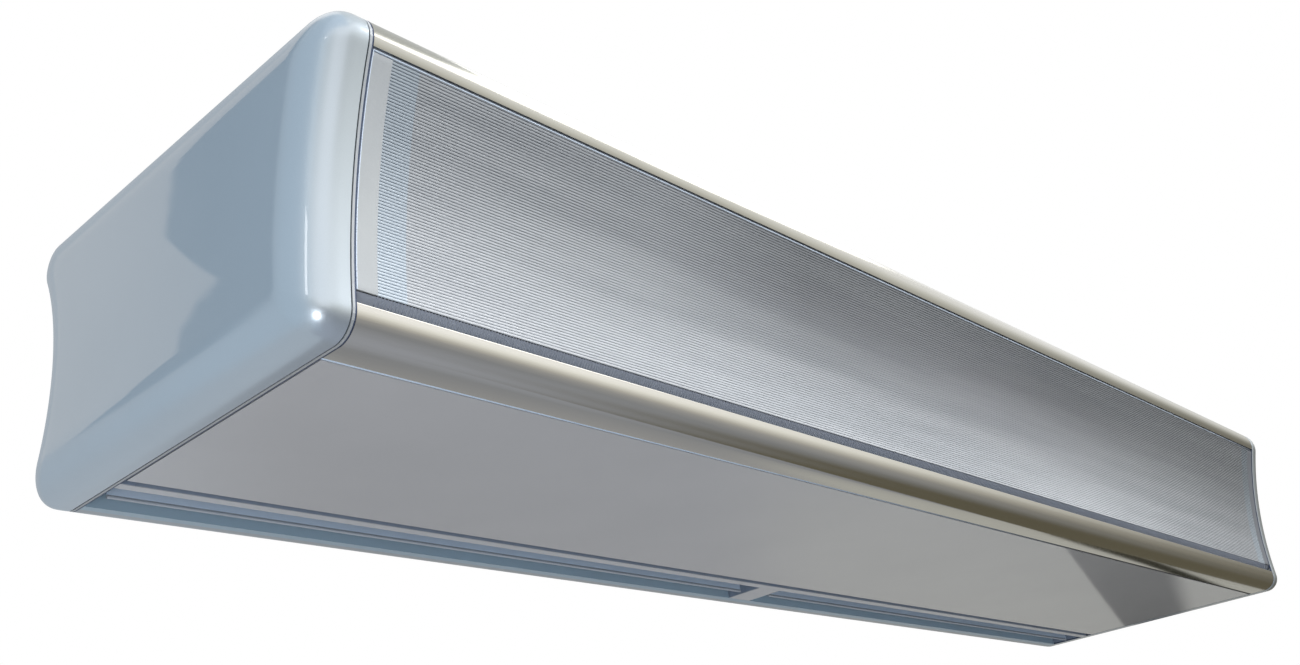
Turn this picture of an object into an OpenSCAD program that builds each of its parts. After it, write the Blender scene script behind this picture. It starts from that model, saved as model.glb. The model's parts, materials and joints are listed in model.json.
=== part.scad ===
// Over-door air curtain, nominal two metre unit, hung from four threaded rods.
// The casing is drawn from its front bottom corner: Y runs to the back, Z runs up.
// The finished unit is moved so that its origin is the centre of the four rod holes on top.
// All sizes are in millimetres.

/* [Casing] */
// Length of the casing between the two end caps
body_len = 1955; // [1900:5:2200]
// Height of the casing
body_h = 287; // [284:1:296]
// Depth of the underside, from sharp front corner to sharp back corner
bottom_d = 496; // [492:1:504]
// How far the top leans out past the underside at the front
front_lean = 46; // [36:1:52]
// How far the top leans out past the underside at the back
back_lean = 26; // [20:1:34]
// Depth of the hollow in the front face
front_sag = 16.5; // [10:0.5:20]
// Depth of the hollow in the back face
back_sag = 55; // [48:1:58]
// Corner radius along the top front edge
front_top_r = 28.5; // [16:0.5:32]
// Corner radius along the bottom front edge
front_low_r = 23.5; // [16:0.5:27]
// Corner radius along the bottom back edge
back_low_r = 23; // [18:1:25]
// Corner radius along the top back edge
back_top_r = 29; // [22:1:33]
// Thickness of the folded casing sheets
sheet_t = 1.5; // [1:0.1:2]
// Gap left between parts that seat on each other
seat_gap = 0.3; // [0.2:0.05:0.4]

/* [End caps] */
// Width of an end cap, measured along the casing
cap_w = 42; // [38:1:60]
// Radius of the rounded outer edge of an end cap
cap_edge_r = 34; // [24:1:36]
// Wall thickness of an end cap
cap_wall = 3; // [2:0.5:4]
// Radius of a screw boss inside an end cap
boss_r = 5; // [4:0.5:7]
// Radius of the screw holes for the end caps
cap_screw_r = 2; // [1.5:0.1:2.5]

/* [End plates] */
// Thickness of the steel end plates
plate_t = 2; // [1.5:0.5:3]
// Width of the visible rim round an end plate
rim_w = 4.5; // [3.5:0.5:7]
// Width of the shadow groove between an end cap and the rim
seam_w = 1; // [0.6:0.1:1.5]

/* [Rails] */
// Wall thickness of the two polished rails
rail_t = 3; // [2:0.5:4]
// Visible height of the top rail, from the top down to the intake grille
top_rail_h = 38; // [34:0.2:50]
// Height of the lower edge of the curved part of the grille
grille_low = 42.4; // [40:0.2:56]
// Height of the lip of the nose rail
nose_lip = 28.8; // [26:0.2:34]
// Depth of the nose rail along the underside
nose_w = 50.5; // [40:0.5:56]

/* [Intake grille] */
// Pitch of the grille bars
bar_pitch = 3.2; // [3:0.1:6]
// Height of one grille bar
bar_h = 2; // [1.4:0.1:2.4]
// Thickness of the grille sheet
grille_t = 1.4; // [1:0.1:2]
// Width of the plain strip at each end of the grille
strip_w = 20; // [12:1:30]
// Depth of the ribs that tie the bars together behind the grille
tie_d = 3; // [2:0.5:5]
// Number of ribs behind the grille
tie_n = 9; // [5:1:15]
// Width of the light sheet that closes each end behind the grille
backing_w = 52; // [35:1:70]

/* [Service panel] */
// Height of the folded edges of the service panel
panel_edge = 10; // [8:1:14]
// Running gap round the service panel
panel_gap = 1; // [0.6:0.1:2]
// Width of the groove that the hinge lies in
groove_w = 11; // [10:0.1:14]
// Radius of the hinge rod
rod_r = 2.5; // [2:0.1:2.8]
// Outer radius of the rolled hinge edge
knuckle_r = 4; // [3.6:0.1:4.2]
// Height of the rolled hinge edge above the underside
hinge_rise = 3; // [2:0.1:3.5]
// Radial running clearance of pins and shafts
run_gap = 0.05; // [0.03:0.01:0.08]
// Length of each block that holds an end of the hinge rod
block_len = 16; // [12:1:24]

/* [Discharge nozzle] */
// Width of the flat lip in front of the discharge slot
lip_w = 11.5; // [10:0.5:18]
// Clear width of the discharge slot
slot_w = 58; // [52:1:60]
// Wall thickness of the two nozzle lips
lip_t = 2.5; // [2:0.5:3]
// Width of the rear nozzle lip, from the slot to the sharp back corner
rear_lip_w = 56.5; // [50:0.5:66]
// Height of the nozzle lips inside the casing
lip_h = 22; // [18:1:26]
// Width of the cross rib in the middle of the slot
rib_w = 45; // [30:1:70]
// Height of an air vane
vane_h = 40; // [30:1:46]
// Thickness of an air vane
vane_t = 2.2; // [1.6:0.2:3]
// Radius of the bead along each edge of a vane
bead_r = 1.8; // [1.6:0.1:2.4]
// Radius of the vane pins
pin_r = 2.5; // [2:0.1:3]
// Gap between the end of a vane and what carries it
vane_gap = 10; // [8:1:14]

/* [Fans] */
// Radius of a fan wheel
wheel_r = 80; // [74:1:80]
// Width of a fan wheel
wheel_w = 170; // [150:2:176]
// Radius of the inner edge of the blades
blade_in_r = 66; // [60:1:68]
// Number of blades round a wheel
blade_n = 32; // [24:1:40]
// Thickness of a blade
blade_t = 0.9; // [0.6:0.1:1.2]
// Width of a fan housing
scroll_w = 190; // [184:2:200]
// Sheet thickness of a fan housing
scroll_t = 1.2; // [1:0.1:1.5]
// Radius of the round inlet in each side of a housing
inlet_r = 62; // [54:1:63]
// Distance of each motor from its end of the casing
motor_in = 517.5; // [490:2.5:522.5]
// Distance of each wheel from its motor
wheel_x = 215; // [208:1:220]
// Radius of the motor shafts
shaft_r = 6; // [5:0.5:7]
// Radius of a motor
motor_r = 55; // [45:1:58]
// Length of a motor
motor_l = 110; // [90:2:120]

/* [Hanging] */
// Distance of the rod holes from each end of the casing
hang_in = 177.5; // [150:2.5:190]
// Distance between the rod holes front to back
hang_dy = 300; // [260:10:320]
// Distance of the middle of the holes from the back bottom corner
hang_back = 246; // [236:1:256]
// Radius of a rod hole
hang_r = 4.5; // [4:0.5:5.5]
// Radius of the bore of the cable gland
cable_r = 6; // [5:0.5:8]

/* [Hidden] */
$fn = 48;

steps_side = 12;      // straight pieces along a hollow face
steps_corner = 7;     // straight pieces round a corner
steps_edge = 7;       // rings round the edge of an end cap
eps = 0.01;
half = body_len / 2;

// The front and back faces are arcs of large circles whose centres lie outside the casing.
function sag_radius(chord, sag) = (chord * chord / 4 + sag * sag) / (2 * sag);
front_chord = norm([front_lean, body_h]);
front_R = sag_radius(front_chord, front_sag);
front_in = [body_h, front_lean] / front_chord;
front_c = [-front_lean / 2, body_h / 2] + (front_sag - front_R) * front_in;
back_chord = norm([back_lean, body_h]);
back_R = sag_radius(back_chord, back_sag);
back_in = [-body_h, back_lean] / back_chord;
back_c = [bottom_d + back_lean / 2, body_h / 2] + (back_sag - back_R) * back_in;

// Corner radii shrink more slowly than the outline, so the cap corners stay soft.
corner_keep = 0.45;
function shrunk(r, d) = r - corner_keep * d;

function front_y(z, d = 0) = front_c[0] + sqrt(pow(front_R + d, 2) - pow(z - front_c[1], 2));
function back_y(z, d = 0) = back_c[0] - sqrt(pow(back_R + d, 2) - pow(z - back_c[1], 2));
function direction(from, to) = let (a = atan2(to[1] - from[1], to[0] - from[0])) a < 0 ? a + 360 : a;
function arc(c, r, a0, a1, n) =
    [for (i = [0:n]) let (a = a0 + (a1 - a0) * i / n) c + r * [cos(a), sin(a)]];
function inner_arc(c, r, a0, a1, n) =
    [for (i = [1:n - 1]) let (a = a0 + (a1 - a0) * i / n) c + r * [cos(a), sin(a)]];

// Centre of the corner circle that touches a hollow face and the top or the underside.
function front_corner(z, r, d) =
    [front_c[0] + sqrt(pow(front_R + d + r, 2) - pow(z - front_c[1], 2)), z];
function back_corner(z, r, d) =
    [back_c[0] - sqrt(pow(back_R + d + r, 2) - pow(z - back_c[1], 2)), z];

// Outline of the casing, drawn inwards by d, anticlockwise from the top front corner.
function outline(d) =
    let (
        r1 = shrunk(front_top_r, d), c1 = front_corner(body_h - d - r1, r1, d),
        r2 = shrunk(front_low_r, d), c2 = front_corner(d + r2, r2, d),
        r3 = shrunk(back_low_r, d), c3 = back_corner(d + r3, r3, d),
        r4 = shrunk(back_top_r, d), c4 = back_corner(body_h - d - r4, r4, d),
        // directions from each corner circle to the large circle that it touches
        a1 = direction(c1, front_c), a2 = direction(c2, front_c),
        a3 = direction(c3, back_c) + 360, a4 = direction(c4, back_c)
    )
    concat(
        arc(c1, r1, 90, a1, steps_corner),
        inner_arc(front_c, front_R + d, a1 - 180, a2 - 180, steps_side),
        arc(c2, r2, a2, 270, steps_corner),
        arc(c3, r3, 270, a3, steps_corner),
        inner_arc(back_c, back_R + d, a3 - 180, a4 - 180, steps_side),
        arc(c4, r4, a4, 450, steps_corner)
    );

// Places along the underside, front to back.
slot_back = bottom_d - rear_lip_w;
slot_front = slot_back - slot_w;
lip_front = slot_front - lip_w;
panel_back = lip_front - groove_w;
panel_front = nose_w + panel_gap;
inner_end = half - plate_t;              // inner face of an end plate
rail_end = half - rim_w - seat_gap;      // end of whatever runs between the rims
roof_z = body_h - sheet_t;               // underside of the top panel
grille_top = body_h - top_rail_h;        // upper edge of the intake grille
motor_x = half - motor_in;
hang_dx = body_len - 2 * hang_in;
hang_y = bottom_d - hang_back;

// Fan housing: the spiral shrinks evenly from the outlet round to the cut-off.
cutoff_a = 300;
cutoff_R = wheel_r * 1.09;
mouth_R = wheel_r * 1.55;
function scroll_R(a) = mouth_R - (mouth_R - cutoff_R) * a / cutoff_a;
mouth_back = slot_back + 3;
fan_y = mouth_back - mouth_R;
fan_z = roof_z - 3 - scroll_t - scroll_R(90);
deck_z = fan_z - scroll_R(270) - scroll_t - seat_gap;   // top face of the fan deck
deck_front = fan_y + cutoff_R * cos(cutoff_a) - 12;
deck_t = 2;
duct_t = 1.2;

// Hinge of the service panel, in the groove behind it.
hinge_y = panel_back + knuckle_r;
hinge_z = hinge_rise + knuckle_r;
groove_top = max(panel_edge, hinge_z + knuckle_r) + seat_gap;   // roof of the hinge groove

// Vane pivot, in the middle of the slot.
vane_y = (slot_front + slot_back) / 2;
vane_z = vane_h / 2;
vane_out = inner_end - vane_gap;
vane_in = rib_w / 2 + vane_gap;
bracket_t = 3;
rib_t = lip_t;
bush_r = pin_r + 2;

// Moves the casing so that the middle of the rod holes is the origin.
module placed() {
    translate([0, -hang_y, -body_h]) children();
}

// Turns a flat (Y, Z) shape into a bar that runs along the casing from x0 to x1.
module along(x0, x1) {
    translate([x0, 0, 0]) rotate([90, 0, 90]) linear_extrude(x1 - x0) children();
}

module section(d) {
    polygon(outline(d));
}

// Band of the casing outline between two depths.
module band(d0, d1) {
    difference() {
        section(d0);
        section(d1);
    }
}

module box2(y0, y1, z0, z1) {
    translate([y0, z0]) square([y1 - y0, z1 - z0]);
}

// A bent sheet in section: thickness t to the right of a line of points.
module folded(points, t) {
    for (i = [0:len(points) - 2])
        let (
            a = points[i],
            b = points[i + 1],
            n = [b[1] - a[1], a[0] - b[0]] / norm(b - a) * t
        )
        polygon([a, b, b + n, a + n]);
}

// ---------------------------------------------------------------- end caps

// Shell between two equal lists of rings, outside and inside, closed by a rim at the first ring.
module shell(outer, inner) {
    n = len(outer[0]);
    m = len(outer);
    points = [for (ring = concat(outer, inner)) for (p = ring) p];
    skin = [for (i = [0:m - 2], j = [0:n - 1])
        let (k = (j + 1) % n, a = i * n + j, b = i * n + k, c = a + n, d = b + n)
        each [[a, c, d], [a, d, b]]];
    lining = [for (f = skin) [for (v = [2:-1:0]) f[v] + m * n]];
    rim = [for (j = [0:n - 1]) let (k = (j + 1) % n)
        each [[j, k, k + m * n], [j, k + m * n, j + m * n]]];
    ends = [[for (j = [n - 1:-1:0]) (m - 1) * n + j], [for (j = [0:n - 1]) (2 * m - 1) * n + j]];
    polyhedron(points, concat(skin, lining, rim, ends));
}

function cap_ring(x, d) = [for (p = outline(d)) [x, p[0], p[1]]];

// Rings of a cap form of width w with a rounded outer edge of radius r, drawn inwards by d0.
function cap_rings(w, r, d0) = concat(
    [cap_ring(0, d0)],
    [for (i = [0:steps_edge]) let (a = 90 * i / steps_edge)
        cap_ring(w - r + r * sin(a), d0 + r * (1 - cos(a)))]
);

// Places of the screws that hold a cap to its end plate.
cap_screw_in = cap_edge_r + 18;
cap_screws = [
    [front_y(body_h * 0.75) + cap_screw_in, body_h - cap_screw_in],
    [front_y(body_h * 0.25) + cap_screw_in, cap_screw_in],
    [back_y(body_h * 0.25) - cap_screw_in, cap_screw_in],
    [back_y(body_h * 0.75) - cap_screw_in, body_h - cap_screw_in]
];

module end_cap() {
    translate([half, 0, 0]) difference() {
        union() {
            shell(
                cap_rings(cap_w, cap_edge_r, 0),
                cap_rings(cap_w - cap_wall, cap_edge_r - cap_wall, cap_wall)
            );
            for (p = cap_screws)
                translate([0, p[0], p[1]]) rotate([0, 90, 0]) cylinder(r = boss_r, h = cap_w - cap_wall + 1);
        }
        for (p = cap_screws)
            translate([-1, p[0], p[1]]) rotate([0, 90, 0]) cylinder(r = cap_screw_r, h = cap_w / 2);
    }
}

module left_end_cap() {
    color("lightsteelblue") placed() mirror([1, 0, 0]) end_cap();
}

module right_end_cap() {
    color("lightsteelblue") placed() end_cap();
}

// -------------------------------------------------------------- end plates

module end_plate() {
    difference() {
        union() {
            along(inner_end, half) section(seam_w);
            along(half - rim_w, half - seam_w) band(0, plate_t);
        }
        for (p = cap_screws)
            translate([inner_end - 1, p[0], p[1]]) rotate([0, 90, 0]) cylinder(r = cap_screw_r + 0.4, h = plate_t + 2);
    }
}

module left_end_plate() {
    color("gainsboro") placed() mirror([1, 0, 0]) end_plate();
}

module right_end_plate() {
    color("gainsboro") placed() end_plate();
}

// ------------------------------------------------------------------- rails

rail_back = front_corner(body_h - front_top_r, front_top_r, 0)[0] + 12;
ledge = 12;

module top_rail() {
    color("lightgoldenrodyellow") placed() along(-rail_end, rail_end) {
        intersection() {
            band(0, rail_t);
            box2(-front_lean, rail_back, grille_top, body_h);
        }
        // ledge that the grille hooks under
        intersection() {
            section(0);
            box2(-front_lean, front_y(grille_top) + ledge, grille_top, grille_top + rail_t);
        }
        // step that the top panel lies on
        box2(rail_back - eps, rail_back + ledge, roof_z - rail_t, roof_z);
        box2(rail_back - rail_t, rail_back, roof_z - rail_t, roof_z);
    }
}

module nose_rail() {
    color("antiquewhite") placed() along(-rail_end, rail_end) {
        intersection() {
            band(0, rail_t);
            box2(-front_lean, nose_w, 0, nose_lip);
        }
        // ledge that the grille stands on
        intersection() {
            section(0);
            box2(-front_lean, front_y(nose_lip) + ledge + rail_t, nose_lip - rail_t, nose_lip);
        }
        // upright edge beside the service panel
        box2(nose_w - rail_t, nose_w, 0, catch_z + catch_h);
    }
}

// ---------------------------------------------------------- intake grille

grille_d = 0.6;      // the grille lies a little behind the outline
grille_in = grille_d + grille_t;
ledge_drop = 8;      // how far the lower edge folds back
grille_end = rail_end - 0.7;
grille_foot = nose_lip + seat_gap;
grille_head = grille_top - seat_gap;

module grille_band(d0, d1, z0, z1) {
    intersection() {
        band(d0, d1);
        box2(-front_lean, bottom_d / 2, z0, z1);
    }
}

module grille_bars() {
    count = floor((grille_head - grille_low) / bar_pitch);
    for (i = [0:count - 1])
        let (
            z = grille_low + bar_pitch * (i + 0.5),
            y = front_y(z, grille_d),
            a = atan2(z - front_c[1], y - front_c[0])
        )
        translate([y, z]) rotate(a) translate([0, -bar_h / 2]) square([grille_t, bar_h]);
}

module intake_grille() {
    color("slategray") placed() {
        along(-grille_end + strip_w - 1, grille_end - strip_w + 1) {
            grille_bars();
        }
        // plain strip at each end
        for (s = [-1, 1])
            mirror([s < 0 ? 1 : 0, 0, 0])
                along(grille_end - strip_w, grille_end)
                    grille_band(grille_d, grille_in, grille_low - eps, grille_head);
        // upper edge and folded-back lower edge
        along(-grille_end, grille_end) {
            grille_band(grille_d, grille_in, grille_head - 3, grille_head);
            polygon([
                [front_y(grille_low, grille_d), grille_low],
                [front_y(grille_low, grille_d) + ledge_drop, grille_foot],
                [front_y(grille_low, grille_d) + ledge_drop + grille_t, grille_foot],
                [front_y(grille_low, grille_in), grille_low]
            ]);
        }
        // ribs that tie the bars together
        for (i = [0:tie_n - 1])
            let (x = (grille_end - strip_w) * (2 * i / (tie_n - 1) - 1))
            along(x - 1, x + 1) grille_band(grille_in - 0.2, grille_in + tie_d, grille_low, grille_head - 3);
    }
}

backing_d = 8;
module grille_backing() {
    along(inner_end - backing_w - plate_t, inner_end)
        grille_band(backing_d, backing_d + sheet_t, nose_lip + ledge, grille_top - ledge);
}

module left_grille_backing() {
    color("whitesmoke") placed() mirror([1, 0, 0]) grille_backing();
}

module right_grille_backing() {
    color("whitesmoke") placed() grille_backing();
}

// ------------------------------------------------------- top and back panel

top_back = back_corner(body_h - back_top_r, back_top_r, 0)[0] - 12;
rod_holes = [for (sx = [-1, 1], sy = [-1, 1]) [sx * hang_dx / 2, hang_y + sy * hang_dy / 2]];
gland_x = -half + 90;
gland_y = 130;

module top_panel() {
    color("silver") placed() difference() {
        union() {
            translate([-rail_end, rail_back, roof_z])
                cube([2 * rail_end, top_back - rail_back, sheet_t]);
            translate([-rail_end, top_back - sheet_t, roof_z - ledge])
                cube([2 * rail_end, sheet_t, ledge]);
        }
        for (p = rod_holes)
            translate([p[0], p[1], roof_z - 1]) cylinder(r = hang_r, h = sheet_t + 2);
        translate([gland_x, gland_y, roof_z - 1]) cylinder(r = cable_r + 3 + run_gap, h = sheet_t + 2);
    }
}

module back_panel() {
    color("silver") placed() along(-rail_end, rail_end) {
        intersection() {
            band(0, sheet_t);
            box2(top_back, bottom_d + back_lean, lip_h + 2, body_h);
        }
        // flange screwed to the top panel
        box2(top_back, top_back + sheet_t, roof_z - ledge, roof_z);
    }
}

hanger_w = 70;
hanger_d = 44;
hanger_t = 3;
module hanger_brackets() {
    color("silver") placed() for (p = rod_holes)
        translate([p[0], p[1], 0]) difference() {
            union() {
                translate([-hanger_w / 2, -hanger_d / 2, roof_z - hanger_t]) cube([hanger_w, hanger_d, hanger_t]);
                for (s = [-1, 1])
                    translate([s * (hanger_w - hanger_t) / 2 - hanger_t / 2, -hanger_d / 2, roof_z - 15])
                        cube([hanger_t, hanger_d, 15 - hanger_t + eps]);
            }
            translate([0, 0, roof_z - hanger_t - 1]) cylinder(r = hang_r, h = hanger_t + 2);
        }
}

// ------------------------------------------------------------------ nozzle

module nozzle_front_lip() {
    color("gainsboro") placed() along(-rail_end + block_len, rail_end - block_len) {
        box2(lip_front, slot_front, 0, lip_t);
        box2(slot_front - lip_t, slot_front, 0, lip_h);
        // roof of the hinge groove
        box2(lip_front, lip_front + lip_t, 0, groove_top + lip_t);
        box2(panel_back - ledge, lip_front + lip_t, groove_top, groove_top + lip_t);
    }
}

module nozzle_rear_lip() {
    color("gainsboro") placed() along(-rail_end, rail_end) {
        intersection() {
            band(0, lip_t);
            box2(slot_back, bottom_d, 0, lip_h);
        }
        box2(slot_back, slot_back + lip_t, 0, lip_h);
        // tongue that the back panel slips over
        intersection() {
            band(sheet_t + seat_gap, sheet_t + seat_gap + lip_t);
            box2(slot_back + ledge, bottom_d, lip_h - lip_t, lip_h + ledge);
        }
    }
}

module nozzle_rib() {
    color("gainsboro") placed() difference() {
        union() {
            translate([-rib_w / 2, slot_front + seat_gap, 0])
                cube([rib_w, slot_w - 2 * seat_gap, rib_t]);
            for (s = [-1, 1])
                translate([s * (rib_w - rib_t) / 2 - rib_t / 2, slot_front + seat_gap, 0])
                    cube([rib_t, slot_w - 2 * seat_gap, vane_h - 4]);
        }
        translate([-rib_w, vane_y, vane_z]) rotate([0, 90, 0])
            cylinder(r = bush_r + run_gap, h = 2 * rib_w);
    }
}

module vane_end_brackets() {
    color("gainsboro") placed() for (s = [0, 1]) mirror([s, 0, 0]) difference() {
        translate([inner_end - bracket_t, slot_front + seat_gap, plate_t + seat_gap])
            cube([bracket_t, slot_w - 2 * seat_gap, vane_h - 6]);
        translate([inner_end - bracket_t - 1, vane_y, vane_z])
            rotate([0, 90, 0]) cylinder(r = bush_r + run_gap, h = bracket_t + 2);
    }
}

// Plain bush with a collar; its collar faces the vane, towards -X.
module bush(wall) {
    difference() {
        union() {
            cylinder(r = bush_r, h = wall);
            translate([0, 0, -1]) cylinder(r = bush_r + 1.5, h = 1);
        }
        translate([0, 0, -2]) cylinder(r = pin_r + run_gap, h = wall + 3);
    }
}

module vane_bushes() {
    color("white") placed() for (s = [0, 1]) mirror([s, 0, 0]) {
        translate([inner_end - bracket_t, vane_y, vane_z]) rotate([0, 90, 0]) bush(bracket_t);
        translate([rib_w / 2, vane_y, vane_z]) rotate([0, -90, 0]) bush(rib_t);
    }
}

module vane() {
    along(vane_in, vane_out) {
        translate([vane_y, bead_r]) circle(r = bead_r);
        translate([vane_y, vane_h - bead_r]) circle(r = bead_r);
        box2(vane_y - vane_t / 2, vane_y + vane_t / 2, bead_r, vane_h - bead_r);
        translate([vane_y, vane_z]) circle(r = pin_r + 1.5);
    }
    // one pin at each end
    translate([rib_w / 2 - rib_t + seat_gap, vane_y, vane_z]) rotate([0, 90, 0])
        cylinder(r = pin_r, h = inner_end - rib_w / 2 + rib_t - 2 * seat_gap);
}

module left_vane() {
    color("steelblue") placed() mirror([1, 0, 0]) vane();
}

module right_vane() {
    color("steelblue") placed() vane();
}

// ----------------------------------------------------------- service panel

panel_end = rail_end - panel_gap;
knuckle_end = rail_end - block_len - panel_gap;
carrier_w = 24;      // width of the middle carrier of the hinge rod

module service_panel() {
    color("gainsboro") placed() difference() {
        union() {
            translate([-panel_end, panel_front, 0])
                cube([2 * panel_end, panel_back - panel_front, sheet_t]);
            for (y = [panel_front, panel_back - sheet_t])
                translate([-panel_end, y, 0]) cube([2 * panel_end, sheet_t, panel_edge]);
            for (s = [0, 1]) mirror([s, 0, 0]) {
                translate([panel_end - sheet_t, panel_front, 0])
                    cube([sheet_t, panel_back - panel_front, panel_edge]);
                // rolled hinge edge
                along(carrier_w / 2 + panel_gap, knuckle_end) {
                    translate([hinge_y, hinge_z]) circle(r = knuckle_r);
                    box2(panel_back - sheet_t, hinge_y, hinge_z - sheet_t / 2, hinge_z + sheet_t / 2);
                }
            }
        }
        translate([-half, hinge_y, hinge_z]) rotate([0, 90, 0])
            cylinder(r = rod_r + run_gap, h = body_len);
    }
}

stiffener_w = 30;
stiffener_h = 6;
module panel_stiffeners() {
    color("silver") placed() for (i = [1, 2])
        let (y = panel_front + (panel_back - panel_front) * i / 3)
        along(-panel_end + 20, panel_end - 20) {
            box2(y - stiffener_w / 2 - 8, y - stiffener_w / 2 + sheet_t, sheet_t, 2 * sheet_t);
            box2(y + stiffener_w / 2 - sheet_t, y + stiffener_w / 2 + 8, sheet_t, 2 * sheet_t);
            for (s = [-1, 1])
                box2(y + s * (stiffener_w - sheet_t) / 2 - sheet_t / 2,
                    y + s * (stiffener_w - sheet_t) / 2 + sheet_t / 2, sheet_t, sheet_t + stiffener_h);
            box2(y - stiffener_w / 2, y + stiffener_w / 2, stiffener_h, sheet_t + stiffener_h);
        }
}

module hinge_rod() {
    color("silver") placed() translate([-rail_end + 1, hinge_y, hinge_z]) rotate([0, 90, 0])
        cylinder(r = rod_r, h = 2 * rail_end - 2);
}

// What the rear edge of the panel sweeps as it swings down: only a round nose is left in it.
module swing_room() {
    difference() {
        box2(panel_back, lip_front, -1, hinge_z);
        translate([hinge_y, hinge_z]) circle(r = knuckle_r - seat_gap);
    }
}

// Blocks at both ends of the groove, and the middle carrier of the rod.
module hinge_blocks() {
    color("gainsboro") placed() difference() {
        union() {
            for (s = [0, 1]) mirror([s, 0, 0])
                along(rail_end - block_len + seat_gap, rail_end)
                    box2(panel_back + panel_gap, slot_front, 0, lip_t + ledge - seat_gap);
            along(-carrier_w / 2, carrier_w / 2)
                box2(panel_back + panel_gap, lip_front - seat_gap, 0, groove_top - seat_gap);
        }
        along(-half, half) {
            swing_room();
            translate([hinge_y, hinge_z]) circle(r = rod_r + run_gap);
        }
    }
}

catch_x = [-hang_dx / 2, 0, hang_dx / 2];
catch_w = 30;
catch_d = 26;
catch_z = panel_edge + 2.5;
catch_h = 12;
strike_d = 22;
module catch_housings() {
    color("dimgray") placed() for (x = catch_x)
        translate([x - catch_w / 2, nose_w, catch_z]) {
            cube([catch_w, catch_d, catch_h]);
            translate([catch_w / 2, catch_d / 2, -1.5]) cylinder(r = 4, h = 2);
        }
}

module catch_strikes() {
    color("dimgray") placed() for (x = catch_x)
        translate([x - catch_w / 2, panel_front + sheet_t, sheet_t])
            difference() {
                cube([catch_w, strike_d, panel_edge - sheet_t - 1]);
                translate([catch_w / 2, catch_d / 2 - sheet_t - panel_gap, 3]) cylinder(r = 5, h = panel_edge);
            }
}

// -------------------------------------------------------- fan deck and duct

wheel_places = [-motor_x - wheel_x, -motor_x + wheel_x, motor_x - wheel_x, motor_x + wheel_x];
deck_back = back_y(deck_z, plate_t) - seat_gap;

module fan_deck() {
    color("silver") placed() difference() {
        union() {
            translate([-inner_end, deck_front, deck_z - deck_t])
                cube([2 * inner_end, deck_back - deck_front, deck_t]);
            // front edge folded down, ends folded up against the end plates
            translate([-inner_end, deck_front, deck_z - deck_t - ledge])
                cube([2 * inner_end, deck_t, ledge + deck_t]);
            for (s = [0, 1]) mirror([s, 0, 0])
                translate([inner_end - deck_t, deck_front, deck_z - deck_t])
                    cube([deck_t, deck_back - deck_front - ledge, deck_t + ledge]);
        }
        for (x = wheel_places)
            translate([x - scroll_w / 2 + scroll_t, deck_front + 14, deck_z - deck_t - 1])
                cube([scroll_w - 2 * scroll_t, mouth_back - deck_front - 14, deck_t + 2]);
    }
}

module duct_front_wall() {
    color("lightslategray") placed() along(-inner_end, inner_end)
        folded([
            [deck_front + 12, deck_z - deck_t],
            [slot_front - lip_t, lip_h],
            [slot_front - lip_t, lip_t + ledge]
        ], duct_t);
}

module duct_rear_wall() {
    color("lightslategray") placed() along(-inner_end, inner_end)
        folded([
            [slot_back + lip_t, lip_t + ledge],
            [slot_back + lip_t, lip_h],
            [mouth_back + 8, deck_z - deck_t]
        ], duct_t);
}

// -------------------------------------------------------------------- fans

function spiral(t) = [for (a = [0:7.5:cutoff_a])
    [fan_y + (scroll_R(a) + t) * cos(a), fan_z + (scroll_R(a) + t) * sin(a)]];
function scroll_outline(t, drop) = concat(
    spiral(t),
    [[fan_y + (cutoff_R + t) * cos(cutoff_a), deck_z - drop], [fan_y + mouth_R + t, deck_z - drop]]
);

module fan_housing(x) {
    color("lightgray") placed() translate([x, fan_y, fan_z]) {
        difference() {
            translate([0, -fan_y, -fan_z]) difference() {
                along(-scroll_w / 2, scroll_w / 2) polygon(scroll_outline(scroll_t, 0));
                along(-scroll_w / 2 + scroll_t, scroll_w / 2 - scroll_t) polygon(scroll_outline(0, 1));
            }
            rotate([0, 90, 0]) cylinder(r = inlet_r, h = scroll_w + 2, center = true);
        }
        // rolled inlet rings
        for (s = [0, 1]) mirror([s, 0, 0])
            translate([scroll_w / 2, 0, 0]) rotate([0, 90, 0]) rotate_extrude()
                translate([inlet_r, 0]) square([8, 3]);
    }
}

hub_r = 14;
function blade(a, lead) = [for (side = [0, 1]) for (i = [0:3])
    let (
        t = side == 0 ? i / 3 : 1 - i / 3,
        r = blade_in_r + (wheel_r - 1 - blade_in_r) * t,
        w = side == 0 ? 0 : blade_t / r * 180 / PI,
        q = a - lead * t * t + w
    )
    r * [cos(q), sin(q)]];

module fan_wheel(x) {
    color("gray") placed() translate([x, fan_y, fan_z]) difference() {
        union() {
            along(-wheel_w / 2, wheel_w / 2)
                for (i = [0:blade_n - 1])
                    polygon(blade(360 * i / blade_n, 10));
            rotate([0, 90, 0]) {
                cylinder(r = wheel_r, h = 2, center = true);
                cylinder(r = hub_r, h = 30, center = true);
            }
            // end rings round the blade tips
            for (s = [0, 1]) mirror([s, 0, 0])
                translate([wheel_w / 2 - 3, 0, 0]) rotate([0, 90, 0]) rotate_extrude()
                    translate([wheel_r - 4, 0]) square([4, 3]);
        }
        rotate([0, 90, 0]) cylinder(r = shaft_r + run_gap, h = 40, center = true);
    }
}

module fan_housing_1() fan_housing(wheel_places[0]);
module fan_housing_2() fan_housing(wheel_places[1]);
module fan_housing_3() fan_housing(wheel_places[2]);
module fan_housing_4() fan_housing(wheel_places[3]);
module fan_wheel_1() fan_wheel(wheel_places[0]);
module fan_wheel_2() fan_wheel(wheel_places[1]);
module fan_wheel_3() fan_wheel(wheel_places[2]);
module fan_wheel_4() fan_wheel(wheel_places[3]);

// ------------------------------------------------------------------ motors

end_boss_r = 16;
end_boss_l = 16;
bearing_r = 11;
bearing_w = 9;
ring_r = 24;
shaft_end = wheel_x + 18;

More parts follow.
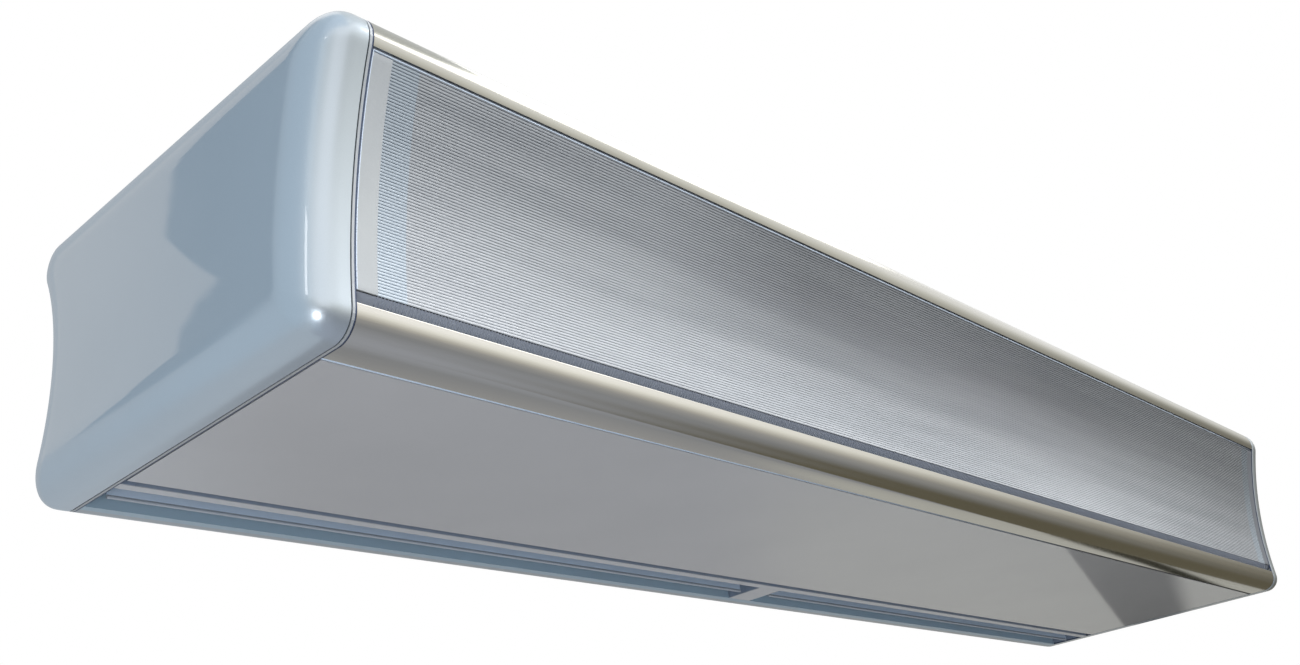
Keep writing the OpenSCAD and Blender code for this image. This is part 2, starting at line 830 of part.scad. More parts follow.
module shaft(x) {
    color("silver") placed() translate([x - shaft_end, fan_y, fan_z]) rotate([0, 90, 0])
        cylinder(r = shaft_r, h = 2 * shaft_end);
}

module motor(x) {
    color("dimgray") placed() translate([x, fan_y, fan_z]) rotate([0, 90, 0]) difference() {
        union() {
            cylinder(r = motor_r, h = motor_l, center = true);
            cylinder(r = end_boss_r, h = motor_l + 2 * end_boss_l, center = true);
            for (i = [0:15])
                rotate(i * 22.5) translate([motor_r - 1, -1, -motor_l / 2 + 12])
                    cube([4, 2, motor_l - 24]);
        }
        cylinder(r = shaft_r + 2, h = motor_l + 2 * end_boss_l + 2, center = true);
        for (s = [0, 1]) mirror([0, 0, s])
            translate([0, 0, motor_l / 2 + end_boss_l - bearing_w])
                cylinder(r = bearing_r + run_gap, h = bearing_w + 1);
    }
}

module motor_bearings() {
    color("silver") placed() for (x = [-motor_x, motor_x], s = [0, 1])
        translate([x, fan_y, fan_z]) rotate([0, 90, 0]) mirror([0, 0, s])
            translate([0, 0, motor_l / 2 + end_boss_l - bearing_w]) difference() {
                cylinder(r = bearing_r, h = bearing_w);
                translate([0, 0, -1]) cylinder(r = shaft_r + run_gap, h = bearing_w + 2);
            }
}

module resilient_rings() {
    color("black") placed() for (x = [-motor_x, motor_x], s = [0, 1])
        translate([x, fan_y, fan_z]) rotate([0, 90, 0]) mirror([0, 0, s])
            translate([0, 0, motor_l / 2 + 2]) difference() {
                cylinder(r = ring_r, h = end_boss_l - 4);
                translate([0, 0, -1]) cylinder(r = end_boss_r + run_gap, h = end_boss_l);
            }
}

cradle_y = 40;
module motor_cradle(x) {
    color("silver") placed() translate([x, 0, 0]) {
        // base on the deck, carried forward under the motor
        translate([-motor_l / 2 - end_boss_l, fan_y - cradle_y, deck_z])
            cube([motor_l + 2 * end_boss_l, deck_front + 36 - fan_y + cradle_y, 2]);
        for (s = [-1, 1])
            translate([s * (motor_l / 2 + end_boss_l / 2) - 1, 0, 0]) difference() {
                along(0, 2) hull() {
                    translate([fan_y, fan_z]) circle(r = ring_r + 8, $fn = 32);
                    box2(fan_y - cradle_y, fan_y + cradle_y, deck_z, deck_z + 2);
                }
                translate([-1, fan_y, fan_z]) rotate([0, 90, 0]) cylinder(r = ring_r + run_gap, h = 4);
            }
    }
}

module left_shaft() shaft(-motor_x);
module right_shaft() shaft(motor_x);
module left_motor() motor(-motor_x);
module right_motor() motor(motor_x);
module left_motor_cradle() motor_cradle(-motor_x);
module right_motor_cradle() motor_cradle(motor_x);

cap_can_r = 17;
cap_can_l = 62;
can_y = mouth_back - cap_can_r - 6;
can_z = deck_z + cap_can_r + 1.5;
module capacitors() {
    color("white") placed() for (x = [-motor_x, motor_x])
        translate([x - cap_can_l / 2, can_y, can_z]) rotate([0, 90, 0]) {
            cylinder(r = cap_can_r, h = cap_can_l);
            for (y = [-5, 5])
                translate([0, y, cap_can_l]) cylinder(r = 1.5, h = 6);
        }
}

module capacitor_clips() {
    color("silver") placed() for (x = [-motor_x, motor_x])
        translate([x - 8, can_y, can_z]) difference() {
            union() {
                rotate([0, 90, 0]) cylinder(r = cap_can_r + 1.5, h = 16);
                translate([0, -cap_can_r - 10, deck_z - can_z]) cube([16, 2 * cap_can_r + 16, 1.5]);
                translate([0, -cap_can_r, deck_z - can_z]) cube([16, 2 * cap_can_r, 6]);
            }
            translate([-1, 0, 0]) rotate([0, 90, 0]) cylinder(r = cap_can_r + run_gap, h = 18);
        }
}

// ---------------------------------------------------------------- controls

box_x0 = -inner_end;
box_w = 150;
box_y0 = 60;
box_d = 150;
box_z0 = 60;
box_h = 170;
box_t = 1.5;

module control_box() {
    color("gainsboro") placed() translate([box_x0, box_y0, box_z0]) difference() {
        cube([box_w, box_d, box_h]);
        translate([box_t, -1, box_t]) cube([box_w - 2 * box_t, box_d - box_t + 1, box_h - 2 * box_t]);
        translate([gland_x - box_x0, gland_y - box_y0, box_h - box_t - 1])
            cylinder(r = cable_r + 4, h = box_t + 2);
    }
}

module control_box_lid() {
    color("gainsboro") placed() translate([box_x0, box_y0 - box_t, box_z0]) {
        cube([box_w, box_t, box_h]);
        for (z = [box_t + seat_gap, box_h - 2 * box_t - seat_gap])
            translate([box_t + seat_gap, box_t - eps, z])
                cube([box_w - 2 * box_t - 2 * seat_gap, 10, box_t]);
    }
}

module terminal_block() {
    color("ivory") placed() translate([box_x0 + 20, box_y0 + box_d - box_t, box_z0 + 25])
        for (i = [0:5])
            translate([i * 10, 0, 0]) difference() {
                translate([0, -22, 0]) cube([10, 22, 20]);
                translate([5, -23, 10]) rotate([-90, 0, 0]) cylinder(r = 2.5, h = 12);
            }
}

module control_board() {
    color("darkgreen") placed() translate([box_x0 + 20, box_y0 + box_d - box_t, box_z0 + 70]) {
        translate([0, -9.6, 0]) cube([100, 1.6, 70]);
        for (x = [6, 94], z = [6, 64])
            translate([x, 0, z]) rotate([90, 0, 0]) cylinder(r = 3, h = 8);
        // relays and transformer
        for (i = [0:2])
            translate([8 + i * 20, -25.6, 12]) cube([16, 16, 20]);
        translate([70, -37.6, 10]) cube([24, 28, 30]);
    }
}

module cable_gland() {
    color("dimgray") placed() translate([gland_x, gland_y, 0]) difference() {
        union() {
            translate([0, 0, roof_z - 12]) cylinder(r = cable_r + 3, h = 12 + sheet_t);
            translate([0, 0, roof_z - 5 - seat_gap]) cylinder(r = cable_r + 6, h = 5, $fn = 6);
            translate([0, 0, body_h]) cylinder(r = cable_r + 6, h = 5, $fn = 6);
            translate([0, 0, body_h]) cylinder(r = cable_r + 4, h = 14);
        }
        translate([0, 0, roof_z - 13]) cylinder(r = cable_r, h = 40);
    }
}

left_end_cap();
right_end_cap();
left_end_plate();
right_end_plate();
top_rail();
nose_rail();
intake_grille();
left_grille_backing();
right_grille_backing();
top_panel();
back_panel();
nozzle_front_lip();
nozzle_rear_lip();
nozzle_rib();
vane_end_brackets();
vane_bushes();
left_vane();
right_vane();
service_panel();
panel_stiffeners();
hinge_rod();
hinge_blocks();
catch_housings();
catch_strikes();
fan_deck();
duct_front_wall();
duct_rear_wall();
fan_housing_1();
fan_housing_2();
fan_housing_3();
fan_housing_4();
fan_wheel_1();
fan_wheel_2();
fan_wheel_3();
fan_wheel_4();
left_shaft();
right_shaft();
left_motor();
right_motor();
left_motor_cradle();
right_motor_cradle();
motor_bearings();
resilient_rings();
capacitors();
capacitor_clips();
control_box();
control_box_lid();
terminal_block();
control_board();
cable_gland();
hanger_brackets();
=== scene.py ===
"""Air curtain: the looks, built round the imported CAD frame. Metres, in the frame of the CAD."""
import json
import math

import bmesh
import bpy
from mathutils import Matrix, Vector

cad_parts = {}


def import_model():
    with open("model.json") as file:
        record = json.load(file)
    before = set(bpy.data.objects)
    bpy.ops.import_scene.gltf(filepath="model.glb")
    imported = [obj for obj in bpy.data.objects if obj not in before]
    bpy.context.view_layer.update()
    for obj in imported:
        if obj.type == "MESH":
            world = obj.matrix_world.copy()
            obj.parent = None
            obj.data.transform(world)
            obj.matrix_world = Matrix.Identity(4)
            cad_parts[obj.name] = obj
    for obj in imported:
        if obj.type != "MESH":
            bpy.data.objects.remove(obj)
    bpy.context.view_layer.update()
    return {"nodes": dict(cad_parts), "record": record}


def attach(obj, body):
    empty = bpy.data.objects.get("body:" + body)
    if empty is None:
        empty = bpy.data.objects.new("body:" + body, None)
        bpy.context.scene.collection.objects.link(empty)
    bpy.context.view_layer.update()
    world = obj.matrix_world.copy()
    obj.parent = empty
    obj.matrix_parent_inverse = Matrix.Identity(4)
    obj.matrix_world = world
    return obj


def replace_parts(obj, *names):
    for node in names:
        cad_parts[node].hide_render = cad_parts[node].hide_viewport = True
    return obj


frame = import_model()

deg = math.radians

# ------------------------------------------------------------------ sizes in mm, as in the CAD
HALF = 977.5
BODY_H = 287.0
BOTTOM_D = 496.0
FRONT_LEAN, BACK_LEAN = 46.0, 26.0
FRONT_SAG, BACK_SAG = 16.5, 55.0
CORNER_KEEP = 0.45
FRONT_TOP_R, FRONT_LOW_R, BACK_LOW_R, BACK_TOP_R = 28.5, 23.5, 23.0, 29.0
HANG_Y = 250.0
CAP_W, CAP_EDGE_R, CAP_WALL = 42.0, 34.0, 3.0
PLATE_T, RIM_W, RAIL_T = 2.0, 4.5, 3.0
SHEET_T, SEAT, LEDGE = 1.5, 0.3, 12.0
GRILLE_TOP, NOSE_LIP, NOSE_W = 249.0, 28.8, 50.5
STRIP_W, GRILLE_D, GRILLE_T = 20.0, 0.6, 1.4
LIP_H = 22.0
ROOF_Z = BODY_H - SHEET_T
RAIL_END = HALF - RIM_W - SEAT
GRILLE_END = RAIL_END - 0.7
BACK_FOOT = LIP_H + 2.0                   # lower end of the back panel

# ------------------------------------------------------------------ sizes in mm that differ from the CAD
CAP_SOFT, CAP_POWER = 1.38, 0.86          # the caps are rounded more softly
GRILLE_LOW = 40.4                         # 2 mm lower
BAR_PITCH, BAR_HALF, BAR_T = 2.8, 1.1, 1.0     # finer and flatter bars; BAR_HALF is half a bar's height
WIRE_PITCH, WIRE_HALF, RIB_HALF = 3.3, 0.42, 0.5   # upright wires, and the ribs of the ledge
HEAD_GAP, HEM, GROOVE = 2.2, 0.9, 0.9     # above the grille, its bright hem, the groove below the hem
BACKING_W, BACKING_GAP = 51.5, 0.1        # light sheets, and how close behind the net they lie
BACKING_X = (HALF - PLATE_T - BACKING_W) / 1000
SEAM_STEP = 2.6                           # what the bevelled strip takes off the back of the nose rail


def place(x, y, z):
    """A point of the CAD's section coordinates, in metres in the row frame."""
    return Vector((x, y - HANG_Y, z - BODY_H)) * 0.001


# ------------------------------------------------------------------ section of the casing
def v2(a, b):
    return Vector((a, b))


def sag_radius(chord, sag):
    return (chord * chord / 4 + sag * sag) / (2 * sag)


f_chord = math.hypot(FRONT_LEAN, BODY_H)
f_R = sag_radius(f_chord, FRONT_SAG)
f_c = v2(-FRONT_LEAN / 2, BODY_H / 2) + (FRONT_SAG - f_R) * v2(BODY_H, FRONT_LEAN) / f_chord
b_chord = math.hypot(BACK_LEAN, BODY_H)
b_R = sag_radius(b_chord, BACK_SAG)
b_c = v2(BOTTOM_D + BACK_LEAN / 2, BODY_H / 2) + (BACK_SAG - b_R) * v2(-BODY_H, BACK_LEAN) / b_chord


def front_y(z, d=0.0):
    return f_c.x + math.sqrt((f_R + d) ** 2 - (z - f_c.y) ** 2)


def back_y(z, d=0.0):
    return b_c.x - math.sqrt((b_R + d) ** 2 - (z - b_c.y) ** 2)


def corner_f(z, r, d):
    return v2(f_c.x + math.sqrt((f_R + d + r) ** 2 - (z - f_c.y) ** 2), z)


def corner_b(z, r, d):
    return v2(b_c.x - math.sqrt((b_R + d + r) ** 2 - (z - b_c.y) ** 2), z)


def arc(c, r, a0, a1, n):
    return [c + r * v2(math.cos(a), math.sin(a))
            for a in (a0 + (a1 - a0) * i / n for i in range(n + 1))]


def heading(a, b):
    return math.atan2(b.y - a.y, b.x - a.x) % math.tau


def corners(d):
    """Centre, radius, first and last angle of the four corner arcs at depth d."""
    r = [x - CORNER_KEEP * d for x in (FRONT_TOP_R, FRONT_LOW_R, BACK_LOW_R, BACK_TOP_R)]
    c = [corner_f(BODY_H - d - r[0], r[0], d), corner_f(d + r[1], r[1], d),
         corner_b(d + r[2], r[2], d), corner_b(BODY_H - d - r[3], r[3], d)]
    a = [heading(c[0], f_c), heading(c[1], f_c), heading(c[2], b_c) + math.tau, heading(c[3], b_c)]
    q = math.pi / 2
    return [(c[0], r[0], q, a[0]), (c[1], r[1], a[1], 3 * q),
            (c[2], r[2], 3 * q, a[2]), (c[3], r[3], a[3], 5 * q)]


def outline(d, side=44, turn=14):
    k = corners(d)
    front = arc(f_c, f_R + d, k[0][3] - math.pi, k[1][2] - math.pi, side)[1:-1]
    back = arc(b_c, b_R + d, k[2][3] - math.pi, k[3][2] - math.pi, side)[1:-1]
    return arc(*k[0], turn) + front + arc(*k[1], turn) + arc(*k[2], turn) + back + arc(*k[3], turn)


def front_run(d, z0, z1, n):
    """Points down the hollow front face, from height z0 to z1."""
    return [v2(front_y(z, d), z) for z in (z0 + (z1 - z0) * i / n for i in range(n + 1))]


def top_run(d, y, z):
    """Along the top at depth d from y, round the top front corner and down the face to z."""
    k = corners(d)[0]
    turn = arc(*k, 20)
    return [v2(y, BODY_H - d)] + turn + front_run(d, turn[-1].y, z, 6)[1:]


def nose_run(d, z, y):
    """Down the face at depth d from z, round the bottom front corner and back to y."""
    k = corners(d)[1]
    turn = arc(*k, 24)
    start = turn[0].y
    face = front_run(d, z, start, 4)[:-1] if z > start + 0.05 else []
    return face + turn + [v2(y, d)]


def back_run(d, z, y):
    """Up the back at depth d from z, round the top back corner and forward to y."""
    k3, k4 = corners(d)[2:]
    low, top = arc(*k3, 20), arc(*k4, 20)
    side = arc(b_c, b_R + d, k3[3] - math.pi, k4[2] - math.pi, 50)[1:-1]
    run = [p for p in low + side if p.y > z]
    return [v2(back_y(z, d) if z > low[-1].y else run[0].x, z)] + run + top + [v2(y, BODY_H - d)]


def fillet(points, r, n=3):
    """Rounds the sharp corners of a closed section; already smooth runs keep their points."""
    out = []
    for i, p in enumerate(points):
        a, b = points[i - 1] - p, points[(i + 1) % len(points)] - p
        la, lb = a.length, b.length
        if la < 1e-6 or lb < 1e-6:
            continue
        turn = math.pi - a.angle(b)
        if turn < math.radians(25):
            out.append(p)
            continue
        cut = min(r, la * 0.45, lb * 0.45)
        s, e = p + a / la * cut, p + b / lb * cut
        for j in range(n + 1):
            t = j / n
            out.append(s * (1 - t) ** 2 + p * 2 * t * (1 - t) + e * t * t)
    return out


# ------------------------------------------------------------------ mesh helpers
def mesh_object(name, verts, faces, slot, body="casing", angle=32, finish=None):
    """A piece with smooth faces that break at edges sharper than the angle."""
    me = bpy.data.meshes.new(name)
    me.from_pydata([tuple(v) for v in verts], [], faces)
    bm = bmesh.new()
    bm.from_mesh(me)
    bmesh.ops.remove_doubles(bm, verts=bm.verts, dist=1e-7)
    bmesh.ops.recalc_face_normals(bm, faces=bm.faces)
    limit = math.radians(angle)
    for f in bm.faces:
        f.smooth = True
    for e in bm.edges:
        e.smooth = len(e.link_faces) == 2 and e.calc_face_angle(0.0) < limit
    bm.to_mesh(me)
    bm.free()
    ob = bpy.data.objects.new(name, me)
    bpy.context.scene.collection.objects.link(ob)
    ob.data.materials.append(MATERIALS[finish or slot])
    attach(ob, body)
    return ob


def extrusion(loops, x0, x1, verts=None, faces=None):
    """Adds closed sections, drawn out along the casing from x0 to x1."""
    verts = [] if verts is None else verts
    faces = [] if faces is None else faces
    for loop in loops:
        n, base = len(loop), len(verts)
        verts += [place(x0, p.x, p.y) for p in loop] + [place(x1, p.x, p.y) for p in loop]
        faces += [(base + i, base + (i + 1) % n, base + n + (i + 1) % n, base + n + i) for i in range(n)]
        faces += [tuple(range(base + n - 1, base - 1, -1)), tuple(range(base + n, base + 2 * n))]
    return verts, faces


# ------------------------------------------------------------------ materials
def nodes_of(name):
    mat = bpy.data.materials.new(name)
    mat.use_nodes = True
    nt = mat.node_tree
    nt.nodes.clear()
    out = nt.nodes.new("ShaderNodeOutputMaterial")
    bsdf = nt.nodes.new("ShaderNodeBsdfPrincipled")
    nt.links.new(bsdf.outputs[0], out.inputs[0])
    return mat, nt, bsdf


def noise(nt, scale, detail=2.0, stretch=(1, 1, 1), rough=0.5):
    """Noise over the piece in metres; stretch is the repeat count along each axis."""
    coord = nt.nodes.new("ShaderNodeTexCoord")
    mapping = nt.nodes.new("ShaderNodeMapping")
    mapping.inputs["Scale"].default_value = stretch
    tex = nt.nodes.new("ShaderNodeTexNoise")
    tex.inputs["Scale"].default_value = scale
    tex.inputs["Detail"].default_value = detail
    tex.inputs["Roughness"].default_value = rough
    nt.links.new(coord.outputs["Object"], mapping.inputs[0])
    nt.links.new(mapping.outputs[0], tex.inputs["Vector"])
    return tex.outputs["Fac"]


def spread(nt, value, lo, hi, a=0.3, b=0.7):
    """Maps the range a..b of a value to lo..hi."""
    m = nt.nodes.new("ShaderNodeMapRange")
    for key, v in (("From Min", a), ("From Max", b), ("To Min", lo), ("To Max", hi)):
        m.inputs[key].default_value = v
    nt.links.new(value, m.inputs["Value"])
    return m.outputs[0]


def blend_colour(nt, factor, a, b):
    mix = nt.nodes.new("ShaderNodeMix")
    mix.data_type = "RGBA"
    nt.links.new(factor, mix.inputs["Factor"])
    for socket, c in ((mix.inputs["A"], a), (mix.inputs["B"], b)):
        if isinstance(c, tuple):
            socket.default_value = (*c, 1)
        else:
            nt.links.new(c, socket)
    return mix.outputs["Result"]


def math_node(nt, kind, a, b=0.0):
    m = nt.nodes.new("ShaderNodeMath")
    m.operation = kind
    for socket, v in ((m.inputs[0], a), (m.inputs[1], b)):
        if isinstance(v, float):
            socket.default_value = v
        else:
            nt.links.new(v, socket)
    return m.outputs[0]


def surface(name, dark, light, rough=(0.35, 0.45), metallic=0.0, coat=0.0, coat_rough=0.06,
            grain=900.0, stretch=(1, 1, 1), bump=0.04, bump_mm=0.05, wear=6.0, drawn=(1, 1, 1),
            coat_ior=1.5):
    """A finish: colour drifts slowly between dark and light, fine grain drives roughness and bump."""
    mat, nt, bsdf = nodes_of(name)
    slow = noise(nt, wear, 4.0, drawn)
    fine = noise(nt, grain, 3.0, stretch)
    tone = blend_colour(nt, spread(nt, slow, 0.0, 1.0), dark, light)
    lift = tuple(min(1.0, c * 1.1 + 0.01) for c in light)
    tone = blend_colour(nt, spread(nt, fine, 0.0, 0.35), tone, lift)
    nt.links.new(tone, bsdf.inputs["Base Color"])
    nt.links.new(spread(nt, fine, rough[0], rough[1]), bsdf.inputs["Roughness"])
    bsdf.inputs["Metallic"].default_value = metallic
    bsdf.inputs["Coat Weight"].default_value = coat
    bsdf.inputs["Coat Roughness"].default_value = coat_rough
    bsdf.inputs["Coat IOR"].default_value = coat_ior
    if bump:
        b = nt.nodes.new("ShaderNodeBump")
        b.inputs["Strength"].default_value = bump
        b.inputs["Distance"].default_value = bump_mm * 0.001
        nt.links.new(fine, b.inputs["Height"])
        nt.links.new(b.outputs[0], bsdf.inputs["Normal"])
    return mat


LONG = (0.02, 1, 1)          # grain drawn out along the casing
MATERIALS = {
    "cap_paint": surface("cap_paint", (0.60, 0.68, 0.75), (0.64, 0.72, 0.79), (0.30, 0.38), 0.85,
                         coat=1.0, coat_rough=0.02, coat_ior=1.8, grain=1400, bump=0.0),
    "end_plate_metal": surface("end_plate_metal", (0.40, 0.43, 0.46), (0.46, 0.48, 0.50), (0.3, 0.4), 0.3),
    "rail_metal": surface("rail_metal", (0.79, 0.77, 0.71), (0.85, 0.83, 0.77), (0.10, 0.18), 1.0,
                          grain=2500, stretch=LONG, bump=0.05, bump_mm=0.02, wear=3.0),
    # Darker copy of rail_metal for the top rail: painted shade in its reflections.
    "rail_top_painted_shade": surface("rail_top_painted_shade", (0.58, 0.57, 0.52), (0.63, 0.62, 0.57), (0.10, 0.18), 1.0,
                              grain=2500, stretch=LONG, bump=0.05, bump_mm=0.02, wear=3.0),
    "grille_metal": surface("grille_metal", (0.36, 0.38, 0.40), (0.41, 0.43, 0.44), (0.35, 0.5), 0.1,
                            grain=900, bump=0.04, wear=14.0),
    "grille_mesh": surface("grille_mesh", (0.50, 0.53, 0.57), (0.64, 0.67, 0.71), (0.35, 0.5), 0.3,
                           grain=700, stretch=(0.4, 1, 1), bump=0.08, bump_mm=0.1, wear=40.0,
                           drawn=(0.06, 1, 1)),
    # Darker, bluer copy of the grille metal for the ledge and the groove under the hem: painted shade.
    "ledge_painted_shade": surface("ledge_painted_shade", (0.34, 0.37, 0.44), (0.42, 0.45, 0.52), (0.35, 0.5), 0.2,
                           grain=700),
    # Pale blue copy of the grille metal for the hem: painted highlight.
    "hem_painted_light": surface("hem_painted_light", (0.60, 0.69, 0.82), (0.68, 0.77, 0.89), (0.25, 0.35), 0.3),
    # Pale blue finish of the seam strip: painted highlight.
    "seam_painted_light": surface("seam_painted_light", (0.58, 0.70, 0.88), (0.66, 0.78, 0.94), (0.25, 0.35), 0.2),
    "light_sheet": surface("light_sheet", (0.62, 0.74, 0.86), (0.66, 0.78, 0.90), (0.4, 0.55), 0.0),
    "zinc_sheet": surface("zinc_sheet", (0.50, 0.52, 0.54), (0.66, 0.68, 0.70), (0.32, 0.5), 1.0,
                          grain=160, bump=0.02, wear=40.0),
    "body_paint": surface("body_paint", (0.42, 0.47, 0.51), (0.47, 0.52, 0.56), (0.35, 0.5), 0.3, coat=0.4),
    "lip_paint": surface("lip_paint", (0.48, 0.50, 0.54), (0.53, 0.55, 0.59), (0.3, 0.42), 0.1, coat=0.3),
    "panel_paint": surface("panel_paint", (0.43, 0.44, 0.47), (0.47, 0.48, 0.51), (0.3, 0.4), 0.0,
                           coat=1.0, coat_rough=0.03, coat_ior=1.8, grain=1500, bump=0.05, bump_mm=0.02),
    # The vane's pale blue is partly painted light: lighter and bluer than its own metal.
    "vane_metal": surface("vane_metal", (0.56, 0.68, 0.84), (0.62, 0.74, 0.90), (0.3, 0.42), 0.1,
                          grain=1800, stretch=LONG, bump=0.05),
    # Darker copy of lip_paint for the rear lip: painted shade.
    "rear_lip_painted_shade": surface("rear_lip_painted_shade", (0.36, 0.40, 0.44), (0.41, 0.45, 0.49), (0.3, 0.42), 0.1,
                              coat=0.3),
    "duct_paint": surface("duct_paint", (0.36, 0.48, 0.58), (0.41, 0.53, 0.63), (0.35, 0.5), 0.2),
    "wheel_metal": surface("wheel_metal", (0.42, 0.44, 0.46), (0.55, 0.57, 0.58), (0.3, 0.5), 1.0,
                           grain=300, wear=40.0),
    "motor_paint": surface("motor_paint", (0.05, 0.055, 0.06), (0.08, 0.085, 0.09), (0.4, 0.55), 0.0,
                           grain=1200),
    "bright_steel": surface("bright_steel", (0.60, 0.60, 0.61), (0.72, 0.72, 0.73), (0.18, 0.3), 1.0,
                            grain=800),
    "rubber": surface("rubber", (0.02, 0.02, 0.02), (0.035, 0.035, 0.035), (0.6, 0.8), 0.0),
    "white_nylon": surface("white_nylon", (0.72, 0.72, 0.68), (0.8, 0.8, 0.76), (0.4, 0.55), 0.0),
    "dark_plastic": surface("dark_plastic", (0.025, 0.026, 0.028), (0.045, 0.046, 0.05), (0.45, 0.6), 0.0,
                            grain=2200),
    "board_green": surface("board_green", (0.02, 0.13, 0.06), (0.03, 0.19, 0.08), (0.3, 0.45), 0.0,
                           wear=60.0),
}


# Tones painted on the pieces by place, in metres of the frame. They follow the light of one picture.
# Painted shade in the joint and a painted shadow line on the rims of the end plates: distance from the
# middle, from and to.
JOINT_SHADE_LINES = ((0.9727, 0.9742, (0.06, 0.08, 0.14)), (0.9765, 0.9785, (0.01, 0.02, 0.03)))
X, Y, Z = 0, 1, 2
# The seam strip's painted highlight fades into painted shade towards the right.
FADES = (("seam_painted_light", X, -0.5, 0.35, (0.03, 0.03, 0.03)),
         # painted shade in the groove: the lip darker above its underside
         ("lip_paint", Z, -0.2864, -0.2860, (0.24, 0.29, 0.38)),
         # painted shade: the front of the rear lip in the dark blue of the shaded duct wall
         ("rear_lip_painted_shade", Y, 0.1998, 0.1994, (0.36, 0.48, 0.58)),
         # painted shade along the vane's lowest edge
         ("vane_metal", Z, -0.2830, -0.2836, (0.40, 0.44, 0.50)),
         # painted shade on the grille strip at the right end
         ("grille_metal", X, 0.90, 0.93, (0.15, 0.16, 0.18)),
         # painted shade on the hem towards the right end
         ("hem_painted_light", X, 0.80, 0.95, (0.16, 0.18, 0.22)))
# Painted shade of the net, as the brightness of its head and foot: at the left, at the right, and where it
# changes.
NET_HEAD, NET_FOOT = (0.60, 0.40, -0.62, -0.38), (0.84, 0.64, 0.3, 0.85)
NET_RISE = (-0.215, -0.10)    # from the foot's brightness to the head's
# Bluer tone of the net's bars over the light sheets: painted light of the sheet behind them.
NET_TINT = (0.60, 0.68, 0.76)
BLACK = (0.0, 0.0, 0.0)


def piece_axes(name):
    """Node tree of a finish, its colour socket and the piece's own x, y and z in metres."""
    nt = MATERIALS[name].node_tree
    base = next(n for n in nt.nodes if n.type == "BSDF_PRINCIPLED").inputs["Base Color"]
    coord = nt.nodes.new("ShaderNodeTexCoord")
    split = nt.nodes.new("ShaderNodeSeparateXYZ")
    nt.links.new(coord.outputs["Object"], split.inputs[0])
    return nt, base, split.outputs


def rim_shade_lines():
    """Painted shade in the joint and a painted shadow line along the rim of the end plates, by distance from
    the middle.
    """
    nt, base, axes = piece_axes("end_plate_metal")
    away = math_node(nt, "ABSOLUTE", axes[X])
    tone = base.links[0].from_socket
    for a, b, colour in JOINT_SHADE_LINES:
        past = math_node(nt, "GREATER_THAN", away, a)
        inside = math_node(nt, "MULTIPLY", past, math_node(nt, "LESS_THAN", away, b))
        tone = blend_colour(nt, inside, tone, colour)
    nt.links.new(tone, base)


def fade(name, axis, a, b, colour):
    """Blends a finish into another colour from a to b along one axis."""
    nt, base, axes = piece_axes(name)
    factor = spread(nt, axes[axis], 0.0, 1.0, a, b)
    nt.links.new(blend_colour(nt, factor, base.links[0].from_socket, colour), base)


def net_shade(name, tint=None):
    """Painted shade: the intake is darker towards its top; the net over the sheet at each end gets a bluer
    tone, painted light of the sheet behind.
    """
    nt, base, axes = piece_axes(name)
    top = spread(nt, axes[X], *NET_HEAD)
    foot = spread(nt, axes[X], *NET_FOOT)
    up = spread(nt, axes[Z], 0.0, 1.0, *NET_RISE)
    shade = math_node(nt, "ADD", foot, math_node(nt, "MULTIPLY", up, math_node(nt, "SUBTRACT", top, foot)))
    tone = blend_colour(nt, shade, BLACK, base.links[0].from_socket)
    if tint:
        over = math_node(nt, "GREATER_THAN", math_node(nt, "ABSOLUTE", axes[X]), BACKING_X)
        tone = blend_colour(nt, over, tone, blend_colour(nt, shade, BLACK, tint))
    nt.links.new(tone, base)


rim_shade_lines()
for change in FADES:
    fade(*change)
net_shade("grille_mesh", NET_TINT)
# The light sheets get the same painted shade, darker towards the top.
net_shade("light_sheet")
for row in frame["record"]["subparts"]:
    mats = frame["nodes"][row["node"]].data.materials
    for i in range(max(1, len(mats))):
        if len(mats):
            mats[i] = MATERIALS[row["material_slot"]]
        else:
            mats.append(MATERIALS[row["material_slot"]])
# The rear lip takes the darker copy of the lip paint, painted shade.
frame["nodes"]["nozzle_rear_lip"].data.materials[0] = MATERIALS["rear_lip_painted_shade"]


# ------------------------------------------------------------------ end caps
def end_cap(side, name):
    """Smooth moulded shell: rings from the seam round the rounded edge to the flat face."""
    def rings(w, r, d0, turn, reach=1.0, power=1.0):
        out = [(0.0, d0), ((w - r) / 2, d0)]
        for i in range(turn + 1):
            a = math.pi / 2 * i / turn
            out.append((w - r + r * math.sin(a) ** power, d0 + r * reach * (1 - math.cos(a) ** power)))
        return out

    verts, faces = [], []
    outer = rings(CAP_W, CAP_EDGE_R, 0.0, 24, CAP_SOFT, CAP_POWER)
    lip = [(0.0, 0.5)]
    inner = rings(CAP_W - CAP_WALL, CAP_EDGE_R - CAP_WALL, CAP_WALL, 6)
    chain = outer[::-1] + lip + inner
    chain = [(x if x > 0 else (0.4 if d == 0 else 0.0), d) for x, d in chain]
    for x, d in chain:
        loop = outline(d)
        n = len(loop)
        verts += [place(side * (HALF + x), p.x, p.y) for p in loop]
    for k in range(len(chain) - 1):
        faces += [(k * n + i, k * n + (i + 1) % n, (k + 1) * n + (i + 1) % n, (k + 1) * n + i)
                  for i in range(n)]
    faces += [tuple(range(n)), tuple(range((len(chain) - 1) * n, len(chain) * n))[::-1]]
    return mesh_object(name, verts, faces, "cap_paint", angle=40)


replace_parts(end_cap(-1, "cap_left"), "left_end_cap")
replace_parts(end_cap(1, "cap_right"), "right_end_cap")

# ------------------------------------------------------------------ rails
RAIL_BACK = corners(0.0)[0][0].x + 12.0
TOP_BACK = corners(0.0)[3][0].x - 12.0


